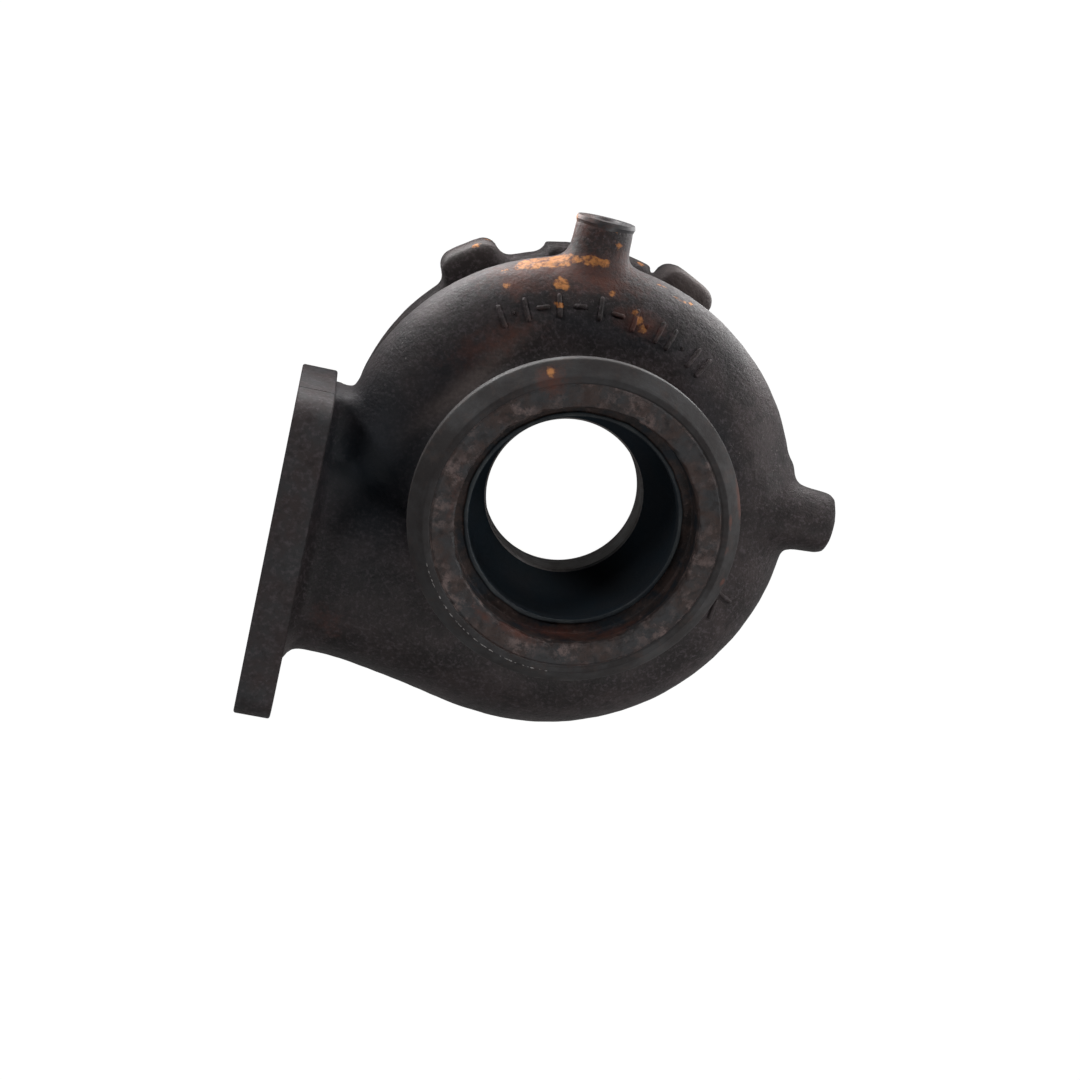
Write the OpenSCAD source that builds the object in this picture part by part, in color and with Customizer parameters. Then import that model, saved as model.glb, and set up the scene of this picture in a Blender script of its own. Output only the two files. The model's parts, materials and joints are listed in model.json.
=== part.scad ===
// Turbine housing of an exhaust turbocharger: one iron casting with machined bores and faces.
// The origin lies on the turbine axis in the rear face.
// The outlet faces +Z, the inlet flange faces -X and the sensor boss points along +Y.

/* [Overall] */
// Height from the rear face to the outlet face
housing_h = 88; // [86:0.5:92]
// Height of the middle plane of the scroll above the rear face
scroll_mid_h = 33; // [32:0.5:35]
// Wall of the casting round the gas passage
wall_t = 5; // [4:0.25:5.5]

/* [Scroll] */
// Reach of the scroll from the axis where the inlet neck joins it
reach_start = 77.9; // [77:0.1:79]
// Reach of the scroll from the axis at its small end
reach_end = 66.6; // [65:0.1:68]
// Radius of the scroll tube where the inlet neck joins it
tube_start_r = 25; // [23:0.25:26]
// Radius of the scroll tube at its small end
tube_end_r = 15; // [13.5:0.25:16]
// Radius of the fillet between the scroll and the outlet neck
valley_r = 9; // [6:0.5:12]

/* [Outlet] */
// Radius of the outside of the outlet neck
neck_r = 38.5; // [37:0.25:40]
// Radius of the clamp rim
rim_r = 46.2; // [45:0.1:48]
// Thickness of the clamp rim at its edge
rim_t = 3.4; // [2.5:0.1:4.5]
// Radius where the outlet face meets the bevel of the rim
face_r = 42; // [40:0.1:43]
// Height of the bevel between the outlet face and the rim
bevel_h = 4.6; // [3.5:0.1:5.5]
// Radius of the counterbore in the outlet face
counterbore_r = 33.5; // [32:0.1:35]
// Depth of the counterbore
counterbore_d = 8.8; // [7:0.1:10]
// Radius of the lip under the counterbore
lip_r = 29.2; // [28:0.1:30]
// Largest radius of the cast cavity behind the lip
cavity_r = 30.5; // [30:0.1:31.5]

/* [Turbine bore] */
// Radius of the bore round the tips of the turbine wheel at its outlet
throat_r = 22.7; // [21.5:0.1:23.5]
// Chamfer at the front edge of the straight bore
throat_chamfer = 0.5; // [0.2:0.1:1]
// Length of the straight bore
throat_l = 10.5; // [8:0.1:11]
// Depth of the front edge of the straight bore below the outlet face
throat_d = 34; // [33:0.1:36]
// Radius of the wheel cavity at the end of the shroud contour
inducer_r = 32; // [30:0.25:33]
// Width of the annular slot between the passage and the wheel
slot_w = 9; // [7:0.25:11]

/* [Rear flange] */
// Radius of the rear flange
rear_r = 64.3; // [63:0.1:66]
// Thickness of the rear flange
rear_t = 12; // [10:0.25:14]
// Radius of the pilot bore for the bearing housing
pilot_r = 47; // [44:0.25:48]
// Depth of the pilot bore
pilot_d = 5; // [4:0.25:7]
// Radius of the seat for the heat shield
shield_r = 40; // [38:0.25:42]
// Number of the clamp lugs
lug_count = 6; // [4:1:6]
// Distance of the outer flat of a clamp lug from the axis
lug_reach = 71.6; // [70:0.1:74]
// Width of a clamp lug
lug_w = 18.8; // [14:0.2:20]
// Height of a clamp lug above the rear face
lug_h = 15; // [13:0.5:18]
// Radius of the outer corners of a clamp lug
lug_corner_r = 4.8; // [3:0.2:6]
// Radius of the circle through the threaded holes in the lugs
lug_pcd_r = 60; // [58:0.25:61]
// Radius of the threaded holes in the lugs
lug_hole_r = 3.4; // [2.5:0.1:4.2]
// Depth of the threaded holes in the lugs
lug_hole_d = 10; // [8:0.5:11]
// Radius of the raised rim segment behind the sensor boss
segment_r = 67.4; // [67:0.1:69]
// Height of the raised rim segment above the front of the rear flange
segment_rise = 0.8; // [0.5:0.1:1.5]
// Angle that the raised rim segment covers
segment_a = 29; // [24:1:34]
// Angle of the middle of the raised rim segment
segment_mid_a = 90; // [86:0.5:92]
// Angle of the first lug
lug_start_a = 4.7; // [0:0.1:10]

/* [Inlet flange] */
// Length of the inlet flange
inlet_l = 98.5; // [96:0.5:104]
// Width of the inlet flange along the turbine axis
inlet_w = 62; // [58:0.5:64]
// Thickness of the inlet flange
inlet_t = 10.8; // [9:0.1:12]
// Distance of the inlet face from the turbine axis
inlet_reach = 81.1; // [80:0.1:84]
// Distance of the middle of the inlet flange below the turbine axis along Y
inlet_drop = 35.5; // [34:0.25:37]
// Corner radius of the inlet flange
inlet_corner_r = 11; // [6:0.5:14]
// Spacing of the bolt holes along Y
bolt_y = 78; // [76:0.5:80]
// Spacing of the bolt holes along the turbine axis
bolt_z = 42; // [40:0.5:44]
// Radius of the bolt holes
bolt_hole_r = 5.25; // [4.25:0.25:5.5]
// Height of the gas opening along Y
port_y = 52; // [50:0.5:54]
// Width of the gas opening along the turbine axis
port_z = 42; // [40:0.5:44]
// Radius of the fillet between the inlet neck and the flange
inlet_fillet_r = 3.5; // [2:0.25:4]
// Height of the web between the flange and the scroll above the turbine axis along Y
web_rise = 12.5; // [10:0.25:14]
// Height of the front of that web above the rear face
web_front_h = 43; // [38:0.5:46]
// Height of the rear of that web above the rear face
web_root_h = 21; // [20:0.5:24]

/* [Bosses] */
// Radius of the sensor boss
sensor_r = 8.8; // [8:0.1:10]
// Distance of the top of the sensor boss from the axis
sensor_reach = 78.2; // [76:0.1:82]
// Offset of the sensor boss along X
sensor_x = -3.8; // [-8:0.1:0]
// Radius of the threaded hole in the sensor boss
sensor_hole_r = 4.2; // [3:0.1:5]
// Depth of the threaded hole in the sensor boss
sensor_hole_d = 9; // [6:0.5:10]
// Radius of the solid side boss at its end
stub_end_r = 9.4; // [8:0.1:11]
// Radius of the solid side boss at its root
stub_root_r = 11.3; // [11:0.1:15]
// Distance of the end of the side boss from the axis
stub_reach = 82; // [80:0.1:86]
// Offset of the side boss along Y
stub_y = 5.4; // [4:0.1:8]
// Height of the axis of the side boss above the rear face
stub_h = 44; // [41:0.5:45]
// Width of the raised band on the scroll under the side boss
band_w = 26; // [22:0.5:30]
// Angle of that band round the turbine axis
band_a = 6; // [4:0.5:8]
// Radius of that band round the scroll tube
band_r = 22.2; // [22:0.1:23]
// Distance of the middle of that band from the turbine axis
band_reach = 49.6; // [49:0.1:51]

/* [Hidden] */
round_fn = 96;
small_fn = 48;
overrun = 1;
sink = 1.5;

// The scroll starts where the inlet neck runs off it and tapers over one turn less a gap.
scroll_start_a = -102;
scroll_turn_a = 318;
scroll_steps = 64;
fall_from_share = 0.067;
fall_to_share = 0.6;
neck_steps = 8;
neck_pull_share = 0.37;
arc_steps = 18;
arc_from_a = -70;
arc_to_a = 105;
apron_steps = 6;
side_steps = 4;
fillet_steps = 5;
apron_end_a = 165;
side_end_a = 245;
apron_r = neck_r - sink;
apron_root_h = rear_t / 2;
apron_pull_share = 0.75;
passage_points = 24;

// Section of the inlet neck at the flange
neck_half_y = port_y / 2 + wall_t;
neck_half_z = port_z / 2 + wall_t;
neck_square_share = 2.6;
port_square_share = 5;
inlet_back = inlet_reach - inlet_t;

// Turbine bore, all heights above the rear face
throat_top_h = housing_h - throat_d;
throat_root_h = throat_top_h - throat_l;
slot_top_h = scroll_mid_h + slot_w / 2;
slot_root_h = scroll_mid_h - slot_w / 2;
shroud_r_share = 0.3;
shroud_h_share = 0.55;
rim_slope_share = 0.6;

function lerp(a, b, t) = a + (b - a) * t;
function fall(t) =
    let (u = max(0, min(1, (t - fall_from_share) / (fall_to_share - fall_from_share))))
    u * u * (3 - 2 * u);
function hermite(a, b, da, db, t) =
    a * (2 * t * t * t - 3 * t * t + 1) + da * (t * t * t - 2 * t * t + t)
    + b * (3 * t * t - 2 * t * t * t) + db * (t * t * t - t * t);
function bezier(a, b, c, d, t) =
    a * pow(1 - t, 3) + b * 3 * t * pow(1 - t, 2) + c * 3 * t * t * (1 - t) + d * t * t * t;
function power_point(a, half_u, half_w, square) =
    [half_u * sign(cos(a)) * pow(abs(cos(a)), 2 / square),
     half_w * sign(sin(a)) * pow(abs(sin(a)), 2 / square)];

// Turning angles of the section points, from the rear of the tube over its outside to the inner wall
section_angles = [
    for (i = [0 : arc_steps]) lerp(arc_from_a, arc_to_a, i / arc_steps),
    for (i = [1 : apron_steps]) lerp(arc_to_a, apron_end_a, i / apron_steps),
    for (i = [1 : side_steps]) lerp(apron_end_a, side_end_a, i / side_steps)
];
ring_angles = [for (i = [0 : passage_points - 1]) 360 / passage_points * i];

function reach_at(t) = lerp(reach_start, reach_end, fall(t));
function tube_at(t) = lerp(tube_start_r, tube_end_r, t);

// Outline of the scroll's outside at a share of its turn, as distances from the axis and heights
function outer_section(t) =
    let (r = tube_at(t), mid = reach_at(t) - r,
         last = [mid + r * cos(arc_to_a), scroll_mid_h + r * sin(arc_to_a)],
         run = [-sin(arc_to_a), cos(arc_to_a)],
         top = [apron_r, last[1] + valley_r],
         root = [mid + r * cos(arc_from_a), apron_root_h])
    [for (i = [0 : arc_steps])
        let (a = section_angles[i])
        [mid + r * cos(a), scroll_mid_h + r * sin(a)],
     for (i = [1 : apron_steps])
        bezier(last, last + run * (last[0] - apron_r) * apron_pull_share,
               top - [0, valley_r * apron_pull_share], top, i / apron_steps),
     for (i = [1 : side_steps - 1])
        lerp(top, [apron_r, apron_root_h], i / (side_steps - 1)),
     root];

// Outline of the gas passage at a share of the turn
function inner_section(t) =
    let (r = tube_at(t) - wall_t, mid = reach_at(t) - tube_at(t))
    [for (a = ring_angles) [mid + r * cos(a), scroll_mid_h + r * sin(a)]];

// Outlines at the inlet flange, as distances below the axis along Y and heights
function neck_end(grow) =
    [for (a = section_angles)
        [inlet_drop, scroll_mid_h]
        + power_point(a, neck_half_y + grow, neck_half_z + grow, neck_square_share)];
function port_end() =
    [for (a = ring_angles)
        [inlet_drop, scroll_mid_h] + power_point(a, port_y / 2, port_z / 2, port_square_share)];

function on_turn(section, a) = [for (p = section) [p[0] * cos(a), p[0] * sin(a), p[1]]];
function on_flange(section, x) = [for (p = section) [x, -p[0], p[1]]];
function run_off(a) = [sin(a), -cos(a), 0];
function neck_loop(first, last, pull, t) =
    [for (i = [0 : len(first) - 1])
        hermite(first[i], last[i], run_off(scroll_start_a) * pull, [-pull, 0, 0], t)];

// A closed skin over loops of points that follow each other, its two ends fanned round a hub point
module loft(loops, first_hub, last_hub) {
    n = len(loops[0]);
    m = len(loops);
    polyhedron(
        points = [for (l = loops) each l, first_hub, last_hub],
        faces = [
            for (i = [0 : n - 1]) [m * n, i, (i + 1) % n],
            for (k = [0 : m - 2], i = [0 : n - 1])
                each [[k * n + i, (k + 1) * n + (i + 1) % n, k * n + (i + 1) % n],
                      [k * n + i, (k + 1) * n + i, (k + 1) * n + (i + 1) % n]],
            for (i = [0 : n - 1]) [m * n + 1, (m - 1) * n + (i + 1) % n, (m - 1) * n + i]
        ],
        convexity = 10);
}

neck_pull = 2 * inlet_back * neck_pull_share;
function turn_loops(section_of, step) =
    [for (k = [scroll_steps : -step : 0])
        on_turn(section_of(k / scroll_steps), scroll_start_a + scroll_turn_a * k / scroll_steps)];
function neck_loops(first, last) =
    [for (k = [0 : neck_steps]) neck_loop(first, last, neck_pull, k / neck_steps)];

// The fillet between the neck and the flange, which grows the outline along a quarter circle
function fillet_loops() =
    [for (k = [1 : fillet_steps])
        let (a = 90 * k / fillet_steps)
        on_flange(neck_end(inlet_fillet_r * (1 - cos(a))), inlet_fillet_r * (1 - sin(a)) - inlet_back)];

module scroll_outside() {
    hub = [[apron_r + valley_r / 2, scroll_mid_h]];
    first = on_turn(outer_section(0), scroll_start_a);
    last = on_flange(neck_end(0), inlet_fillet_r - inlet_back);
    sunk = on_flange(neck_end(inlet_fillet_r), -inlet_back - sink);
    start_hub = on_turn(hub, scroll_start_a)[0];
    loft(turn_loops(function(t) outer_section(t), 1),
         on_turn(hub, scroll_start_a + scroll_turn_a)[0], start_hub);
    loft([each neck_loops(first, last), each fillet_loops(), sunk],
         start_hub, [-inlet_back - sink, -inlet_drop, scroll_mid_h]);
}

module scroll_passage() {
    first = on_turn(inner_section(0), scroll_start_a);
    last = on_flange(port_end(), -inlet_reach - overrun);
    start_hub = on_turn([[reach_start - tube_start_r, scroll_mid_h]], scroll_start_a)[0];
    end_hub = on_turn([[reach_end - tube_end_r, scroll_mid_h]], scroll_start_a + scroll_turn_a)[0];
    loft(turn_loops(function(t) inner_section(t), 2), end_hub, start_hub);
    loft(neck_loops(first, last), start_hub, [-inlet_reach - overrun, -inlet_drop, scroll_mid_h]);
}

// The outlet neck with its clamp rim, down to the rear face
module outlet_body() {
    rim_top = housing_h - bevel_h;
    rim_root = rim_top - rim_t;
    back_h = (rim_r - neck_r) * rim_slope_share;
    rotate_extrude($fn = round_fn)
        polygon([
            [throat_r / 2, 0],
            [neck_r, 0],
            [neck_r, rim_root - back_h],
            [rim_r, rim_root],
            [rim_r, rim_top],
            [face_r, housing_h],
            [throat_r / 2, housing_h]
        ]);
}

module rear_flange() {
    edge = rear_t / 8;
    rotate_extrude($fn = round_fn)
        polygon([
            [throat_r / 2, 0],
            [rear_r - edge, 0],
            [rear_r, edge],
            [rear_r, rear_t - edge],
            [rear_r - edge, rear_t],
            [throat_r / 2, rear_t]
        ]);
}

module lug() {
    corner = lug_corner_r;
    length = lug_reach - shield_r;
    translate([shield_r, 0, 0]) {
        translate([0, -lug_w / 2, 0])
            cube([length - corner, lug_w, lug_h]);
        translate([0, corner - lug_w / 2, 0])
            cube([length, lug_w - 2 * corner, lug_h]);
        for (side = [-1, 1])
            translate([length - corner, side * (lug_w / 2 - corner), 0])
                cylinder(h = lug_h, r = corner, $fn = small_fn);
    }
}

module inlet_flange() {
    straight_y = inlet_l - 2 * inlet_corner_r;
    straight_z = inlet_w - 2 * inlet_corner_r;
    translate([-inlet_reach, -inlet_drop, scroll_mid_h]) {
        translate([0, -inlet_l / 2, -straight_z / 2])
            cube([inlet_t, inlet_l, straight_z]);
        translate([0, -straight_y / 2, -inlet_w / 2])
            cube([inlet_t, straight_y, inlet_w]);
        for (sy = [-1, 1], sz = [-1, 1])
            translate([0, sy * straight_y / 2, sz * straight_z / 2])
                rotate([0, 90, 0])
                    cylinder(h = inlet_t, r = inlet_corner_r, $fn = small_fn);
    }
}

// The raised segment of the rear rim behind the sensor boss
module rim_segment() {
    edge = rear_t / 8;
    root_r = rear_r - rear_t / 2;
    rotate([0, 0, segment_mid_a - segment_a / 2])
        rotate_extrude(angle = segment_a, $fn = round_fn)
            polygon([
                [root_r, edge],
                [segment_r - edge, edge],
                [segment_r, 2 * edge],
                [segment_r, rear_t + segment_rise - edge],
                [segment_r - edge, rear_t + segment_rise],
                [root_r, rear_t + segment_rise]
            ]);
}

module sensor_boss() {
    root = reach_end - tube_end_r;
    foot_h = reach_end - root + wall_t / 2;
    translate([sensor_x, root, scroll_mid_h])
        rotate([-90, 0, 0]) {
            cylinder(h = sensor_reach - root, r = sensor_r, $fn = small_fn);
            cylinder(h = foot_h, r1 = sensor_r + wall_t, r2 = sensor_r, $fn = small_fn);
        }
}

// The cast web that ties the top of the inlet flange to the scroll
module flange_web() {
    corner = wall_t / 2;
    length = inlet_back - reach_end + 2 * wall_t + sink;
    translate([-inlet_back - sink, -inlet_drop, web_root_h])
        cube([length, web_rise + inlet_drop, web_front_h - web_root_h - corner]);
    translate([-inlet_back - sink, -inlet_drop, web_root_h])
        cube([length, web_rise + inlet_drop - corner, web_front_h - web_root_h]);
    translate([-inlet_back - sink, web_rise - corner, web_front_h - corner])
        rotate([0, 90, 0])
            cylinder(h = length, r = corner, $fn = small_fn);
}

module side_boss() {
    root = neck_r + sink;
    translate([root, stub_y, stub_h])
        rotate([0, 90, 0])
            cylinder(h = stub_reach - root, r1 = stub_root_r, r2 = stub_end_r, $fn = small_fn);
}

// The raised band that the side boss stands on, a short tube across the scroll
module boss_band() {
    rotate([0, 0, band_a])
        translate([band_reach, -band_w / 2, scroll_mid_h])
            rotate([-90, 0, 0])
                cylinder(h = band_w, r = band_r, $fn = round_fn);
}

// Everything that is bored on the turbine axis
module turbine_bore() {
    rotate_extrude($fn = round_fn)
        polygon([
            [0, -overrun],
            [pilot_r, -overrun],
            [pilot_r, pilot_d],
            [shield_r, pilot_d],
            [shield_r, slot_top_h],
            [inducer_r, slot_top_h],
            [lerp(throat_r, inducer_r, shroud_r_share), lerp(throat_root_h, slot_top_h, shroud_h_share)],
            [throat_r, throat_root_h],
            [throat_r, throat_top_h - throat_chamfer],
            [throat_r + throat_chamfer, throat_top_h],
            [cavity_r, throat_top_h + 2 * wall_t],
            [cavity_r, housing_h - counterbore_d - wall_t],
            [lip_r, housing_h - counterbore_d - wall_t / 2],
            [lip_r, housing_h - counterbore_d],
            [counterbore_r, housing_h - counterbore_d],
            [counterbore_r, housing_h + overrun],
            [0, housing_h + overrun]
        ]);
}

// The annular slot that lets the gas in to the wheel
module nozzle_slot() {
    rotate_extrude($fn = round_fn)
        translate([inducer_r, slot_root_h])
            square([reach_end - tube_end_r - inducer_r, slot_w]);
}

module bolt_holes() {
    for (sy = [-1, 1], sz = [-1, 1])
        translate([-inlet_reach - overrun, sy * bolt_y / 2 - inlet_drop, scroll_mid_h + sz * bolt_z / 2])
            rotate([0, 90, 0])
                cylinder(h = inlet_t + 2 * overrun, r = bolt_hole_r, $fn = small_fn);
}

module lug_holes() {
    for (i = [0 : lug_count - 1])
        rotate([0, 0, lug_start_a + 360 / lug_count * i])
            translate([lug_pcd_r, 0, -overrun])
                cylinder(h = lug_hole_d + overrun, r = lug_hole_r, $fn = small_fn);
}

module sensor_hole() {
    translate([sensor_x, sensor_reach - sensor_hole_d, scroll_mid_h])
        rotate([-90, 0, 0])
            cylinder(h = sensor_hole_d + overrun, r = sensor_hole_r, $fn = small_fn);
}

module turbine_housing() {
    color("dimgray")
        difference() {
            union() {
                scroll_outside();
                outlet_body();
                rear_flange();
                for (i = [0 : lug_count - 1])
                    rotate([0, 0, lug_start_a + 360 / lug_count * i])
                        lug();
                inlet_flange();
                flange_web();
                rim_segment();
                sensor_boss();
                side_boss();
                boss_band();
            }
            turbine_bore();
            nozzle_slot();
            scroll_passage();
            bolt_holes();
            lug_holes();
            sensor_hole();
        }
}

turbine_housing();
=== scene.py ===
# Visual model of a turbocharger turbine housing: cast skin, machined rings, flanges and its studio stage.
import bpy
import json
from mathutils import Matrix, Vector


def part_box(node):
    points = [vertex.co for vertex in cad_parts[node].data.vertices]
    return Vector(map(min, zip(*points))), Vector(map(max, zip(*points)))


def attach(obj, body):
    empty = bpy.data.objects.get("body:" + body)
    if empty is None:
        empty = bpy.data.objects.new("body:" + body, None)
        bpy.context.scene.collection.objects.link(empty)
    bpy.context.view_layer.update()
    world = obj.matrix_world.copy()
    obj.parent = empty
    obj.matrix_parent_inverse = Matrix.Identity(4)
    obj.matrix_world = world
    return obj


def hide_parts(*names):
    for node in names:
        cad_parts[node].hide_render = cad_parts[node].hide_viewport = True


bl_info = {
    "name": "Turbine Housing Finish",
    "version": (1, 0, 0),
    "blender": (4, 5, 0),
    "location": "3D View > Sidebar > Turbine Housing",
    "description": "Dresses the turbine housing casting with its cast skin, machined faces and rust",
    "category": "Object",
}

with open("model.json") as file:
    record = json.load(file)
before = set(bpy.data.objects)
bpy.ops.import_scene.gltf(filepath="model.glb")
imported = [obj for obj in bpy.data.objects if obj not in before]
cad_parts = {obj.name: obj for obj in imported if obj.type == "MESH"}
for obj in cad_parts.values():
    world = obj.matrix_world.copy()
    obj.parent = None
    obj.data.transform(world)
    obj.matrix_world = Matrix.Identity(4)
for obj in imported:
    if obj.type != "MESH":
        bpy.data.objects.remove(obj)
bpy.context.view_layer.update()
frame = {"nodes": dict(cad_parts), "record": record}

import json
from math import copysign, cos, hypot, pi, radians, sin, sqrt

import bpy
import numpy as np
from bpy.props import FloatProperty, FloatVectorProperty, IntProperty, PointerProperty
from mathutils import Matrix, Vector
from mathutils.bvhtree import BVHTree

MM = 0.001
NODE = "turbine_housing"
# Angles above which an edge is shaded sharp
RING_SHARP = radians(28)
PLATE_SHARP = radians(30)
MARK_SHARP = radians(60)
# Radius at which the noise that bites the outlet's edge is read
BITE_RING = 33 * MM
# Floor: half its side in metres, share of it that the camera sees as white, and how bright that is
FLOOR_HALF = 4.0
FLOOR_SHARE = 0.96
FLOOR_WHITE = 1.05
WHITE = (1, 1, 1)
MOUNTS = {m["name"]: m for m in frame["record"]["mounts"]}
LOW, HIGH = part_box(NODE)


def dim(mount, key):
    """A stated size of a mount, in metres."""
    return MOUNTS[mount]["dims"][key + "_mm"] * MM


def place(mount):
    """The stated point of a mount, in metres."""
    return Vector(MOUNTS[mount]["pos_m"])


def size(text, note, millimetres):
    """A length that a user may change, given in millimetres."""
    return FloatProperty(name=text, description=note, default=millimetres * MM,
                         subtype="DISTANCE", unit="LENGTH")


def turn_by(text, note, degrees):
    """An angle that a user may change, given in degrees."""
    return FloatProperty(name=text, description=note, default=radians(degrees), subtype="ANGLE")


def plain(text, note, value):
    """A plain number that a user may change."""
    return FloatProperty(name=text, description=note, default=value)


def tint(text, note, colour):
    """A linear colour that a user may change."""
    return FloatVectorProperty(name=text, description=note, default=colour, size=3,
                               subtype="COLOR", min=0, max=1)


class HousingSizes(bpy.types.PropertyGroup):
    """Sizes of the housing that the mounts don't state."""

    neck_r: size("Neck radius", "Outside radius of the outlet neck", 38.5)
    face_r: size("Face radius", "Radius where the outlet face meets its bevel", 42)
    bevel_h: size("Bevel height", "Height of the bevel on the clamp rim", 4.6)
    lip_r: size("Lip radius", "Radius of the lip under the counterbore", 29.2)
    cavity_r: size("Cavity radius", "Largest radius of the cast cavity", 30.5)
    throat_depth: size("Throat depth", "Depth of the bore's front edge below the outlet face", 34)
    inducer_r: size("Inducer radius", "Radius at the wide end of the shroud contour", 32)
    slot_top: size("Slot top", "Height of the top of the gas slot", 37.5)
    rear_r: size("Rear radius", "Radius of the rear flange", 64.3)
    lug_reach: size("Lug reach", "Distance of a lug's outer flat from the axis", 71.6)
    lug_width: size("Lug width", "Width of a clamp lug", 18.8)
    lug_corner: size("Lug corner", "Corner radius of a clamp lug", 4.8)
    lug_start: turn_by("Lug start", "Angle of the first clamp lug", 4.7)
    plate_thickness: size("Flange thickness", "Thickness of the inlet flange", 10.8)
    plate_length: size("Flange length", "Length of the inlet flange", 98.5)
    plate_width: size("Flange width", "Width of the inlet flange", 62)
    plate_corner: size("Flange corner", "Corner radius of the inlet flange", 11)
    port_length: size("Port length", "Length of the gas opening", 52)
    port_width: size("Port width", "Width of the gas opening", 42)
    boss_r: size("Boss radius", "Radius of the sensor boss", 8.8)


class CastSkin(bpy.types.PropertyGroup):
    """How the raw casting's surface is worked."""

    grid: size("Grid", "Edge length of the casting's mesh", 1.28)
    fillet_passes: IntProperty(name="Fillet passes", description="Rounds of filling corners", default=21)
    fill: plain("Fill", "Share that an inside corner is filled in one round", 0.5)
    trim: plain("Trim", "Share that an outside corner is eased in one round", 0.22)
    swell: size("Swell", "Height of the slow waves in the skin", 0.14)
    grain: size("Grain", "Height of the grain in the skin", 0.07)
    mark_width: size("Mark width", "Width of a raised foundry mark's line", 1.5)
    mark_height: size("Mark height", "Height of a raised foundry mark", 0.95)
    cover: size("Cover", "How far the skin lies under the machined pieces", 0.5)


class Finish(bpy.types.PropertyGroup):
    """Colours of the housing."""

    scale_dark: tint("Dark scale", "Sooty casting skin", (0.026, 0.021, 0.021))
    scale_brown: tint("Brown scale", "Brown oxide on the casting skin", (0.058, 0.044, 0.044))
    # Pale specks: faint grit over the skin, and painted glints where the skin catches the light; also the
    # base of the wheel bore's painted light
    grit_and_glint: tint("Grit", "Pale grit in the skin", (0.30, 0.27, 0.26))
    # Painted light: pale brown for the lit fillet round the outlet neck and the lit ends of two clamp
    # lugs
    painted_light: tint("Dust", "Pale brown dust in the corner round the outlet neck", (0.17, 0.135, 0.125))
    rust: tint("Rust", "Fresh orange rust", (0.66, 0.27, 0.080))
    rust_dark: tint("Old rust", "Dull red rust", (0.13, 0.045, 0.030))
    skin_grey: tint("Skin grey", "Violet grey grain of the casting skin", (0.140, 0.116, 0.128))
    machined: tint("Machined", "Oxidised turned iron", (0.050, 0.049, 0.052))
    machined_pale: tint("Pale machined", "Cleaner turned iron", (0.115, 0.112, 0.115))
    # Near-black soot of the gas way, also used as painted shade in the valleys round the outlet neck
    soot: tint("Soot", "Soot in the gas way", (0.010, 0.020, 0.030))
    rim_grey: tint("Rim grey", "Oxidised iron on the clamp rim", (0.050, 0.048, 0.050))
    # Painted light: clean iron in the wheel bore, made pale enough to stand in for the light falling on
    # the bore's far side
    bore_lit_grey: tint("Bore grey", "Clean iron in the wheel bore", (0.46, 0.45, 0.45))
    lip_grey: tint("Lip grey", "Bluish grey on the lip under the counterbore", (0.050, 0.064, 0.070))
    face_brown: tint("Brown face", "Brown oxide on the outlet face", (0.062, 0.040, 0.035))
    face_pale: tint("Pale deposit", "Pale pinkish deposit on the outlet face", (0.20, 0.145, 0.135))
    scratch: tint("Scratch", "Bare iron in a scratch", (0.55, 0.52, 0.51))


class StageSettings(bpy.types.PropertyGroup):
    """Camera and light."""

    tilt: turn_by("Tilt", "Angle of the view from the turbine axis", 17.61)
    azimuth: turn_by("Azimuth", "Side from which the view is tilted", 119.63)
    roll: turn_by("Roll", "Turn of the picture about the view axis", 13.74)
    distance: size("Distance", "Distance of the camera from the plane of the outlet", 480)
    shift_right: size("Shift right", "How far the outlet lies right of the view axis", 10.05)
    shift_up: size("Shift up", "How far the outlet lies above the view axis", 3.10)
    lens: plain("Lens", "Focal length on a 36 mm sensor, in millimetres", 58.72)
    above_power: plain("Above power", "Power of the lamp above right in watts", 1.6)
    right_power: plain("Right power", "Power of the low lamp on the right in watts", 2.8)
    left_power: plain("Left power", "Power of the lamp on the left in watts", 2.0)
    front_power: plain("Front power", "Power of the lamp in front in watts", 1.7)
    fill_power: plain("Fill power", "Power of the lamp low on the left in watts", 0.8)
    edge_power: plain("Edge power", "Power of the left lamp on the floor in watts", 0.28)
    floor_glow: plain("Floor glow", "Light that the white floor gives", 0.06)
    world: plain("World", "Strength of the light from all sides", 0.0)


def sizes():
    return bpy.context.scene.housing_sizes


def colours():
    return bpy.context.scene.housing_finish


def add_object(name, data):
    obj = bpy.data.objects.new(name, data)
    bpy.context.scene.collection.objects.link(obj)
    return obj


def new_mesh(name, points, faces):
    mesh = bpy.data.meshes.new(name)
    mesh.from_pydata(points, [], faces)
    return mesh


def add_piece(name, mesh):
    """Puts a piece of the housing in the scene and lets it ride on the casting's body."""
    obj = add_object(name, mesh)
    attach(obj, "root")
    return obj


def shade(mesh, angle):
    """Smooth shading with edges kept sharp above an angle."""
    mesh.shade_smooth()
    mesh.set_sharp_from_angle(angle=angle)


def baked(obj):
    """A new mesh of an object with its modifiers applied."""
    return bpy.data.meshes.new_from_object(obj.evaluated_get(bpy.context.evaluated_depsgraph_get()))


def ease(value, low, high):
    """Smooth step from 0 below low to 1 above high."""
    t = np.clip((value - low) / (high - low), 0, 1)
    return t * t * (3 - 2 * t)


def near(value, middle, reach):
    """1 at the middle, falling in a straight line to 0 at the reach on both sides."""
    return np.clip(1 - np.abs(value - middle) / reach, 0, 1)


def from_axis(points):
    return np.hypot(points[:, 0], points[:, 1])


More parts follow.
